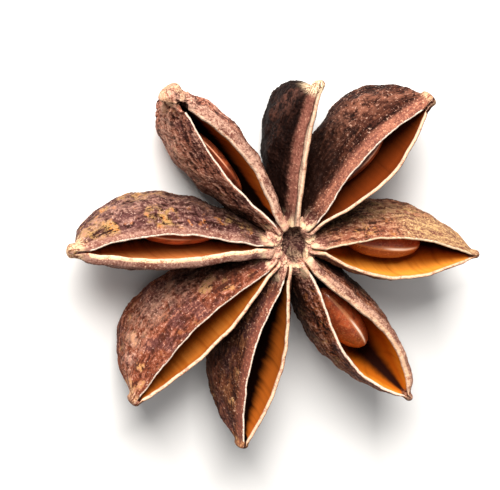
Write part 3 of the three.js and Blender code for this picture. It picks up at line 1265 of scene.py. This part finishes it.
    def draw(self) -> Grid:
        """Give the sections their lips' waves, their wrinkles and their beak.

        Returns:
            The carpel's points and the values that the finish reads.
        """
        self._wave()
        self._wrinkle()
        self._round_beak()
        self._close_beak()
        return self.grid

    def _crag(self, down: np.ndarray, flank: int) -> np.ndarray:
        """Return the height of the low lumps of a flank."""
        waves = (share * np.sin(a * self.x + b * down + c * flank) for share, a, b, c in self.CRAG_WAVES)
        return self.CRAG * sum(waves)

    def _flank(self, side: int, way: np.ndarray) -> tuple[np.ndarray, np.ndarray]:
        """Draw one side of the outside.

        Args:
            side: 0 for the left, 1 for the right.
            way: From 0 at the lip through 1 at the widest place to 2 at the keel.

        Returns:
            How far each point lies from the seam to that side, and how far below it.
        """
        width = self.widths[side]
        lip = np.minimum(self.half + self.carpel.rims[side], width)
        turn = np.where(way < 1, way, way - 1) * math.pi / 2
        upper = lip + (width - lip) * np.sin(turn)
        lower = width * np.maximum(0, np.cos(turn)) ** self.BACK_ROUND
        below = self.WIDEST_AT + (1 - self.WIDEST_AT) * np.sin(turn)
        down = self.depth * np.where(way < 1, self.WIDEST_AT * way, below)
        wide = np.where(way < 1, upper, lower)
        fade = smooth((self.x - self.SLIT_START) / 2) * np.sin(math.pi * way / 2) * clamp01(wide)
        return np.maximum(0, wide + fade * self._crag(down, self.spot.number * 2 + side)), down

    def _wall(self, side: int, way: np.ndarray) -> tuple[np.ndarray, np.ndarray]:
        """Draw one side of the cavity.

        Args:
            side: 0 for the left, 1 for the right.
            way: From 0 at the lip to 1 at the floor's middle.

        Returns:
            How far each point lies from the seam to that side, and how far below it.
        """
        turn = way * math.pi / 2
        room = np.maximum(0, self.widths[side] - self.SIDE_WALL - self.half)
        belly = np.minimum(self.carpel.bellies[side], room) * self.hollow
        bulge = np.sin(math.pi * self.BULGE * np.sin(turn))
        wide = (self.half + belly * bulge) * np.maximum(0, np.cos(turn)) ** self.FLOOR_ROUND
        return wide, self.floor * np.sin(turn)

    def _lip(self, side: int, way: np.ndarray) -> tuple[np.ndarray, np.ndarray]:
        """Draw one lip's rounded top.

        Args:
            side: 0 for the left, 1 for the right.
            way: From 0 at its outer edge to 1 at its inner edge.

        Returns:
            How far each point lies from the seam to that side, and how far below it.
        """
        outer = np.minimum(self.half + self.carpel.rims[side], self.widths[side])
        crest = self.CREST * np.minimum(outer - self.half, 0.4) * np.sin(math.pi * way) ** 0.8
        return outer + (self.half - outer) * way, -crest

    def _outline(self) -> tuple[np.ndarray, np.ndarray, np.ndarray]:
        """Draw every section, from the left lip over the back to the right lip and the cavity.

        Returns:
            How far each point lies to the left of the seam and how far below it, and its part.
        """
        outer = np.linspace(0, 2, steps(self.FLANK_COLUMNS))
        inner = np.linspace(0, 1, steps(self.WALL_COLUMNS)) ** self.WALL_CROWDING
        crest = np.linspace(0, 1, self.LIP_COLUMNS)[1:-1]
        runs = (
            (Zone.FLANK, 0, outer),
            (Zone.FLANK, 1, outer[-2::-1]),
            (Zone.LIP, 1, crest),
            (Zone.WALL, 1, inner),
            (Zone.WALL, 0, inner[-2::-1]),
            (Zone.LIP, 0, crest[::-1]),
        )
        draw = {Zone.FLANK: self._flank, Zone.LIP: self._lip, Zone.WALL: self._wall}
        parts = [(draw[zone](side, way), 1 - 2 * side) for zone, side, way in runs]
        away = np.concatenate([wide * sign for (wide, _), sign in parts], axis=1)
        down = np.concatenate([low for (_, low), _ in parts], axis=1)
        zone = np.concatenate([np.full(len(way), zone) for zone, _, way in runs])
        return away, down, np.broadcast_to(zone, away.shape)

    def _values(self) -> dict[str, np.ndarray]:
        """Work out what the finish reads.

        Returns:
            The values by name, one for each point.
        """
        carpel, knob = self.carpel, self.carpel.beak.value
        down, side = self.down, self.side
        wide, x = np.abs(self.away), np.broadcast_to(self.x, down.shape)
        flank, wall = self.zone == Zone.FLANK, self.zone == Zone.WALL
        hollow = wall * (carpel.seam is Seam.OPEN)
        slit = carpel.reach - carpel.shut
        clear = between(*self.MOUTH, x) * (1 - between(slit - self.MOUTH_END, slit, x))
        inset = np.where(flank, np.take(carpel.rims, side) + np.maximum(down, 0), wide - self.half)
        across = np.where(wall, -down / self.LIP_DEPTH, inset / np.take(carpel.lips, side))
        across = across + np.where(wall, -5.0, 3.0) * (1 - clear)
        if carpel.seam is Seam.SHUT:
            across = np.where(wall, 9.0 * (1 - side), across)
        reach = np.take(carpel.bands, side)
        start = between(carpel.band_start, carpel.band_start + self.BAND_LENGTH, self.u)
        room = x * np.take(np.tan(self.spot.wedges), side) - wide
        halves = [np.where(hollow & (side == k), wide, 0.0).max(axis=1, keepdims=True) for k in (0, 1)]
        inward = 1 - wide / np.maximum(np.where(side == 0, *halves), 0.3)
        # How deep a point of the cavity lies, which sets where the walls' painted light and shade fall.
        sunk = 0.5 * down / np.maximum(self.floor, 1.0) + 0.5 * inward
        # Painted shade on a flank: it grows with depth and where the neighbour lies close.
        shade = between(*self.CREVICE_DEPTH, down)
        hub = (1 - between(*self.HUB, x)) * (1 - between(*self.HUB_DEPTH, down))
        back = 1 - between(*self.TIP, (carpel.reach - x) / knob.start)
        return {
            "below": np.maximum(down, 0),
            "across": across,
            "band": (1 - between(*self.BAND_EDGE, down - reach)) * (reach > 0) * start * ~wall,
            "inner": hollow * clear,
            "crevice": shade * (1 - between(*self.CREVICE_ROOM, room)) * flank,
            "deep": np.where(hollow, sunk, down / self.depth),
            "out": np.broadcast_to(self.u, down.shape),
            "hub": hub * ~wall,
            "thin": 1 - between(*self.THIN, np.take(carpel.lips, side)),
            "tip": knob.pale * back * (1 - hollow),
        }

    def _wave(self) -> None:
        """Wave the lips' edges, which fades with depth."""
        noise = Noise(Draw.LIPS + self.spot.number)
        side, x = np.sign(self.away), self.grid.points[..., 0]
        at = np.stack([x * self.WAVE, side * 5.0, np.full(x.shape, 0.5)], axis=-1)
        fine = np.stack([x * self.RIPPLE, side * 9.0, np.full(x.shape, 0.2)], axis=-1)
        fade = np.exp(-np.maximum(self.down, 0) / self.WAVE_DEPTH)
        weight = fade * smooth((x - self.WAVE_START) / self.WAVE_LENGTH)
        sway = noise.at(at) * self.WAVE_SWAY + noise.at(fine) * self.RIPPLE_SWAY
        rise = noise.at(at + 3.7) * self.WAVE_RISE + noise.at(fine + 5.1) * self.RIPPLE_RISE
        shift = np.stack([np.zeros(x.shape), sway * weight, rise * weight], axis=-1)
        self.grid.points = self.grid.points + shift

    def _wrinkle(self) -> None:
        """Raise the wrinkles of the skin on the outside, and note their height for the finish."""
        grid, place = self.grid, self.grid.points
        noise = Noise(Draw.SKIN + self.spot.number)
        bent = place + noise.at(place * 0.6)[..., None] * np.array(self.SKIN_BEND)
        coarse = noise.ridged(bent / np.array(self.FOLD_SIZE), 3)
        small = noise.ridged(bent / self.CREASE_SIZE + 7.7, 2)
        lumps = noise.rough(place / self.LUMP_SIZE + 3.3, 2)
        height = self.FOLD_SHARE * coarse + (1 - self.FOLD_SHARE) * small
        below = grid.values["below"]
        grown = 0.5 + 0.5 * between(*self.FOLD_WAY, place[..., 0])
        fade = between(*self.FOLD_DEPTH, below) * grown
        swell = self.FOLD * (height - self.FOLD_EVEN) + self.LUMP * lumps
        if self.carpel.beak is Beak.GNARLED:
            tip = between(*self.GNARL_WAY, grid.values["out"])
            knobs = self.GNARL * noise.ridged(place / self.GNARL_SIZE + 1.9, 2)
            swell = swell + tip * (knobs - self.GNARL_SINK)
            fade = np.maximum(fade, tip * 0.8)
        outside = 1 - grid.values["inner"]
        grid.values["relief"] = np.where(below > 0, clamp01((height - 0.35) / 0.5), 0.5)
        grid.points = place + grid.normals() * (swell * fade * outside)[..., None]

    def _round_beak(self) -> None:
        """Draw the last sections in to the beak's round shape."""
        grid, knob = self.grid, self.carpel.beak.value
        left = self.carpel.reach - self.x
        share = (1 - between(self.NOSE, knob.start, left))[..., None]
        pinch = 1 - knob.neck * np.exp(-(((left - self.NECK_AT) / self.NECK_LENGTH) ** 2))
        middle = np.stack([self.x, self.middle, self.top - knob.low], axis=-1)
        away = (grid.points - middle) / np.array([1.0, knob.wide, knob.tall])
        away[..., 0] = 0
        away = away / np.maximum(np.linalg.norm(away, axis=-1, keepdims=True), 1e-6)
        away = away * np.array([0.0, knob.wide, knob.tall]) * pinch[..., None]
        away = away * (1 - 0.3 * grid.values["inner"])[..., None]
        grid.points = grid.points + (middle + away - grid.points) * share

    def _close_beak(self) -> None:
        """Close the beak with a few shrinking sections."""
        grid, last = self.grid, self.grid.points[-1][None]
        way = np.linspace(0, 1, self.NOSE_STATIONS + 2)[1:-1, None, None]
        middle = grid.caps[1] * [0, 1, 1] + last.mean(axis=1, keepdims=True) * [1, 0, 0]
        rows = middle + (last - middle) * np.sqrt(1 - way**2)
        rows[..., 0] = last[..., 0] + (self.carpel.reach - last[..., 0]) * way[..., 0]
        grid.points = np.concatenate([grid.points, rows])
        for key, value in grid.values.items():
            grid.values[key] = np.concatenate([value, np.repeat(value[-1:], self.NOSE_STATIONS, axis=0)])


# ---------------------------------------------------------------- the seeds


@dataclass(frozen=True)
class Seed:
    """A flat, egg-shaped seed that lies on its edge, its narrow end towards the core.

    Attributes:
        length: From end to end.
        height: Across its flat side.
        from_lips: Its middle below the lips.
        pitch: Degrees that its narrow end is raised.
        roll: How closely it follows the carpel's lean.
        taper: How much narrower it is at the narrow end.
        rows: Points along it.
        columns: Points round it.
    """

    length: float = 6.8
    height: float = 4.8
    from_lips: float = 3.6
    pitch: float = 8.0
    roll: float = 1.4
    taper: float = 0.3
    rows: int = 72
    columns: int = 144

    KEEL = 90  # how sharp its keel is
    KEEL_RISE = 0.03
    BROAD_ROUND = 0.9  # below 1, the broad end is blunter than an egg's
    FLATNESS = 0.12  # above 0, the sides are flatter than an egg's
    DENT = 0.025  # height of its unevenness, as a share of its size
    DENT_LENGTH = 2.2
    TIP = 0.01  # rise of the point that closes each end

    def grid(self, thick: float, number: int) -> Grid:
        """Draw the seed.

        Args:
            thick: Its thickness between its flat sides.
            number: The place of its carpel, which fixes its unevenness.

        Returns:
            Its points, with the broad end first, and the values that the finish reads.
        """
        along = np.linspace(0, math.pi, self.rows + 2)[1:-1, None]
        round_it = np.linspace(0, 2 * math.pi, self.columns, endpoint=False)[None, :]
        x, flat, tall = np.cos(along), np.cos(round_it), np.sin(round_it)
        slim = 1 - self.taper * (1 - x) / 2
        keel = np.maximum(tall, 0) ** self.KEEL
        blunt = np.sin(along) ** np.where(x > 0, self.BROAD_ROUND, 1.0)
        y = blunt * flat * np.abs(flat) ** self.FLATNESS * slim * thick / 2
        z = blunt * tall * slim * (1 + self.KEEL_RISE * keel) * self.height / 2
        points = np.stack(np.broadcast_arrays(x * self.length / 2, y, z), axis=-1)
        dents = Noise(Draw.DENTS + number).rough(points / self.DENT_LENGTH, 2)
        points = points * (1 + self.DENT * dents[..., None])
        parts = {"keel": keel, "along": (1 + x) / 2, "right": between(0.1, -0.1, flat)}
        values = {name: np.broadcast_to(part, y.shape) for name, part in parts.items()}
        rise = np.array([self.TIP, 0, 0])
        return Grid(points, values, (points[0].mean(axis=0) + rise, points[-1].mean(axis=0) - rise))

    def place(self, carpel: Carpel, core: Core) -> Matrix:
        """Work out where a seed lies.

        Args:
            carpel: The carpel that it lies in.
            core: The pod's core.

        Returns:
            The way from millimetres in the seed's frame to metres in the pod's.
        """
        u = carpel.share(carpel.seed, core)
        share = self.from_lips / carpel.depth_at(u)
        side = carpel.middle_at(u) + carpel.lean * smooth(share) + carpel.aside
        height = carpel.seam_height(carpel.seed, core) - self.from_lips
        lie = Matrix.Translation((carpel.seed, float(side), float(height)))
        turn = math.atan(self.roll * carpel.lean / carpel.depth) + math.radians(carpel.roll)
        roll = Matrix.Rotation(turn, 4, "X")
        pitch = Matrix.Rotation(math.radians(self.pitch), 4, "Y")
        return core.place() @ Matrix.Rotation(math.radians(carpel.heading), 4, "Z") @ lie @ roll @ pitch

    def build(self, carpel: Carpel, spot: Spot) -> bpy.types.Object:
        """Build and dress one seed.

        Args:
            carpel: The carpel that it lies in.
            spot: Where that carpel stands.

        Returns:
            The seed's object.
        """
        name = f"kernel_{carpel.name}"
        coat = carpel.coat.material(f"{name}_coat")
        return self.grid(carpel.thick, spot.number).piece(name, self.place(carpel, spot.core), coat)


# ---------------------------------------------------------------- the pod


TAN = HuskFinish(
    furrow="3c2218", skin="744230", ridge="a2765a", bloom="6c4232", worn=0.3, flesh="a8865c",
    edge="dcc8a8", wall="9c4c10", painted_wall_light="ea9a38", floor="1e0904", shade=0.34, fade=0.34, core_shade_reach=0.05,
)
MOTTLED = HuskFinish(
    skin="482a26", ridge="78564c", patch="a8824e", worn=0.5, flesh="8e6a5c", rim="d8b08c",
    wall="ac5a2a", painted_wall_light="d88848", floor="1a0804", shade=0.26, fade=0.22, core_shade_reach=0.25, drift=5.0,
)
# Dark plum skin for the north-east carpel: partly its own tone, partly painted shade on its flank beside the
# north carpel, with painted shade from the core reaching far out.
PLUM = HuskFinish(
    furrow="120502", skin="30150d", ridge="543022", bloom="1e0c08", patch="462a1c", worn=0.0,
    flesh="8c5844", wall="481a08", painted_wall_light="72300f", shade=0.45, core_shade_reach=0.7,
)
# The north carpel's near-black skin is painted shade, for its narrow place deep between its neighbours;
# painted shade from the core runs its whole length.
SHADE = HuskFinish(
    furrow="0a0302", skin="1a0b07", ridge="301a13", fleck_and_glint="42281e", bloom="120705",
    patch="341c12", worn=-0.3, flesh="7e5042", rim="bc967a", beak="dcc29e", core_shade_reach=1.4,
)
RUSSET = HuskFinish(
    furrow="3a1b12", skin="63311f", ridge="8e5a48", worn=0.15, flesh="a87e6a", wall="964c14",
    painted_wall_light="c07a34", floor="2e1006", shade=0.22, fade=0.35, core_shade_reach=0.4,
)
ROSY = HuskFinish(
    furrow="2c1510", skin="824e3d", ridge="ba8a74", worn=0.05, flesh="b48c78", rim="c8a68e",
    edge="dccab8", wall="9c4816", painted_wall_light="bc6422", floor="140603", shade=0.2, fade=0.14, core_shade_reach=0.3,
)
UMBER = HuskFinish(
    skin="4a2718", ridge="744a30", worn=0.0, flesh="7a4434", wall="a8561a", painted_wall_light="c87a2c",
    floor="100402", shade=0.13, fade=0.16, beak="d09a60", core_shade_reach=0.5,
)
AMBER = HuskFinish(
    furrow="200b04", skin="6c3822", worn=0.25, flesh="b08872", wall="a45410", painted_wall_light="d8902c",
    floor="1c0602", shade=0.4, fade=0.48, core_shade_reach=0.45,
)

# A seed coat painted darker: painted shade for seeds that lie deep in narrow cavities.
SHADED_COAT = SeedFinish(coat="7c341e", shade="35120a", ridge="8a4a30", glint="d09070")

CARPELS = (
    Carpel(
        "e", -8, 16.3, girth=5.4, depth=8.25, gape=3.2, peak=0.48, sway=0.6, crown=0.7, lean=0.6,
        stern=0.8, lips=(0.18, 0.24), bands=(2.6, 0.0), band_start=0.46, seed=8.7, thick=3.4,
        # Its seed's right side is darker: painted shade on the side turned from the light.
        roll=-2.0, flanks=(0.94, 1.0), finish=TAN, coat=SeedFinish(coat="a44c2c", under="74301c"),
    ),
    Carpel(
        "ne", 47, 16.4, girth=5.0, depth=7.9, gape=2.7, peak=0.54, sway=0.3, lift=0.5, shut=1.0,
        crown=0.8, lips=(0.16, 0.24), bands=(0.8, 0.0), snub=0.65, lean=0.9, stern=1.12, seed=8.7, thick=2.6,
        beak=Beak.SNOUT, finish=PLUM, coat=SHADED_COAT,
    ),
    Carpel(
        "n", 90.5, 14.1, girth=2.9, depth=7.4, sway=-1.3, lift=0.5, crown=0.2, lips=(0.02, 0.3),
        bands=(0.6, 0.3), seam=Seam.SHUT, beak=Beak.BUD, finish=SHADE,
    ),
    Carpel(
        "nw", 129, 18.1, girth=5.4, depth=8.25, gape=1.9, bow=-0.32, sway=0.2, lift=0.2, shut=1.9,
        rims=(0.3, 0.7), lips=(0.13, 0.24), bands=(0.0, 0.7), bellies=(1.0, 0.0),
        flanks=(0.9, 0.92), snub=0.95, lean=1.1, stern=0.74, seed=8.9, thick=1.8, aside=0.35,
        beak=Beak.GNARLED, finish=ROSY, coat=SHADED_COAT,
    ),
    Carpel(
        "w", 176, 19.1, girth=5.4, depth=8.25, gape=1.95, peak=0.55, bow=-0.32, sway=0.3, shut=1.3,
        rims=(0.85, 0.3), lips=(0.3, 0.16), bands=(0.8, 0.4), flanks=(1.0, 0.95), lean=-0.2,
        stern=0.7, seed=8.9, beak=Beak.NUB, finish=MOTTLED,
        coat=SeedFinish(coat="b85c3a", shade="6a2c1a", ridge="b46c48", glint="e4ac88"),
    ),
    Carpel(
        "sw", 224, 17.9, girth=5.2, depth=8.0, gape=2.1, bow=-0.12, crown=0.5, lips=(0.26, 0.15),
        snub=0.55, lean=-1.2, stern=1.2, beak=Beak.STUB, finish=RUSSET,
    ),
    Carpel(
        "s", 259, 17.4, girth=4.6, depth=8.05, gape=2.5, sway=0.2, lift=0.2, shut=0.35, crown=0.5,
        lips=(0.28, 0.16), bands=(0.0, 0.5), lean=-0.5, beak=Beak.STUB, finish=UMBER,
    ),
    Carpel(
        "se", 309, 18.1, girth=5.6, depth=8.2, gape=3.4, peak=0.6, bow=-0.25, lift=0.1,
        rims=(0.7, 0.3), lips=(0.36, 0.2), bands=(0.4, 0.0), stern=0.9, seed=9.5, thick=3.0,
        roll=-12.0, finish=AMBER,
    ),
)


@dataclass(frozen=True)
class Pod:
    """The whole pod.

    Attributes:
        core: The short core in its middle.
        carpels: The carpels, anticlockwise.
        seed: What each seed is like.
    """

    core: Core = field(default_factory=Core)
    carpels: tuple[Carpel, ...] = CARPELS
    seed: Seed = field(default_factory=Seed)

    def spot(self, number: int) -> Spot:
        """Work out where a carpel stands.

        Args:
            number: Its place among the carpels.

        Returns:
            Where it stands.
        """
        here = self.carpels[number].heading
        left = self.carpels[(number + 1) % len(self.carpels)].heading
        right = self.carpels[number - 1].heading
        wedges = math.radians((left - here) % 360 / 2), math.radians((here - right) % 360 / 2)
        return Spot(self.core, wedges, number)

    def build(self) -> None:
        """Build every piece, stand it for its solid and report it."""
        self._join(self.core.build(), "husk", "husk")
        for number, carpel in enumerate(self.carpels):
            spot = self.spot(number)
            self._join(carpel.build(spot), "husk", "husk")
            if carpel.seed is not None:
                self._join(self.seed.build(carpel, spot), f"seed_{carpel.name}", "seed")

    @staticmethod
    def _join(piece: bpy.types.Object, node: str, slot: str) -> None:
        """Let a piece ride with the pod in place of its solid.

        Args:
            piece: The dressed piece.
            node: The solid that it stands for.
            slot: Not used.
        """
        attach(piece, "root")
        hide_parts(node)
        log.info("%s: %d faces", piece.name, len(piece.data.polygons))


# ---------------------------------------------------------------- the studio


@dataclass(frozen=True)
class Lamp:
    """A soft square lamp.

    Attributes:
        name: What it is called.
        towards: Direction from the pod to the lamp, as seen by the camera: right, up, near.
        distance: From the pod, in metres.
        size: Length of its side, in metres.
        power: In watts.
        tint: Its colour.
    """

    name: str
    towards: tuple[float, float, float]
    distance: float
    size: float
    power: float
    tint: tuple[float, float, float] = (1.0, 1.0, 1.0)

    def build(self, aim: Vector, axes: Matrix) -> None:
        """Hang the lamp.

        Args:
            aim: The point that it shines at.
            axes: The camera's right, up and near directions as columns.
        """
        data = bpy.data.lights.new(self.name, "AREA")
        data.shape = "SQUARE"
        data.size = self.size
        data.energy = self.power
        data.color = self.tint
        lamp = stand(self.name, data)
        away = (axes @ Vector(self.towards)).normalized()
        lamp.location = aim + away * self.distance
        lamp.rotation_mode = "QUATERNION"
        lamp.rotation_quaternion = away.to_track_quat("Z", "Y")


@dataclass(frozen=True)
class Studio:
    """The floor, the lamps and the camera.

    Attributes:
        tilt: How far the camera stands from straight above, in degrees.
        turn: Compass direction that it leans towards, in degrees anticlockwise from +X.
        lens: Its focal length, in millimetres.
        width: Width of what it sees, in metres.
        aim: The point that it looks at, from the middle of the pod's box, in metres.
        sky: Brightness of the light from all round.
        floor: Half the length of the floor's sides, in metres.
        lamps: The lamps.
    """

    tilt: float = 30.0
    turn: float = 135.0
    lens: float = 400.0
    width: float = 0.0400
    aim: tuple[float, float, float] = (-0.0009, 0.0005, 0.0)
    sky: float = 0.38
    floor: float = 1.5
    lamps: tuple[Lamp, ...] = (
        Lamp("window", (0.0, 0.46, 0.88), 0.35, 0.2, 4.0, (1.0, 0.98, 0.95)),
    )

    def axes(self) -> Matrix:
        """Work out how the camera stands.

        Returns:
            Its right, up and near directions as columns.
        """
        turn, tilt = math.radians(self.turn), math.radians(self.tilt)
        hinge = Vector((-math.sin(turn), math.cos(turn), 0.0))
        return Matrix.Rotation(tilt, 3, hinge)

    def build(self) -> None:
        """Set up the floor, the light and the camera."""
        low, high = (Vector(corner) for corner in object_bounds())
        axes = self.axes()
        aim = (low + high) / 2 + axes @ Vector(self.aim)
        self._floor()
        self._sky()
        for lamp in self.lamps:
            lamp.build(aim, axes)
        camera = stand("camera", bpy.data.cameras.new("camera"))
        camera.data.lens = self.lens
        camera.data.clip_start = 0.01
        distance = self.width * self.lens / camera.data.sensor_width
        camera.location = aim + axes.col[2] * distance
        camera.rotation_mode = "QUATERNION"
        camera.rotation_quaternion = axes.to_quaternion()
        bpy.context.scene.camera = camera
        bpy.context.scene.view_settings.view_transform = "Standard"

    def _floor(self) -> None:
        """Lay the floor."""
        side = self.floor
        outline = [(-side, -side, 0), (side, -side, 0), (side, side, 0), (-side, side, 0)]
        mesh = bpy.data.meshes.new("floor")
        mesh.from_pydata(outline, [], [(0, 1, 2, 3)])
        mesh.materials.append(FloorFinish().material("floor_paint"))
        stand("floor", mesh)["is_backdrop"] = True

    def _sky(self) -> None:
        """Light the scene evenly from all round."""
        world = bpy.data.worlds.new("studio")
        world.use_nodes = True
        background = world.node_tree.nodes["Background"]
        background.inputs["Color"].default_value = (1.0, 1.0, 1.0, 1.0)
        background.inputs["Strength"].default_value = self.sky
        bpy.context.scene.world = world


def corners(box: Sequence[Sequence[float]]) -> list[list[float]]:
    """Return a box's corners as plain lists."""
    return [[float(part) for part in corner] for corner in box]


def main() -> None:
    """Load the frame, build the pod and set up the studio."""
    logging.basicConfig(level=logging.INFO, format="%(name)s: %(message)s")
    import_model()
    Pod().build()
    Studio().build()


if __name__ == "__main__":
    main()
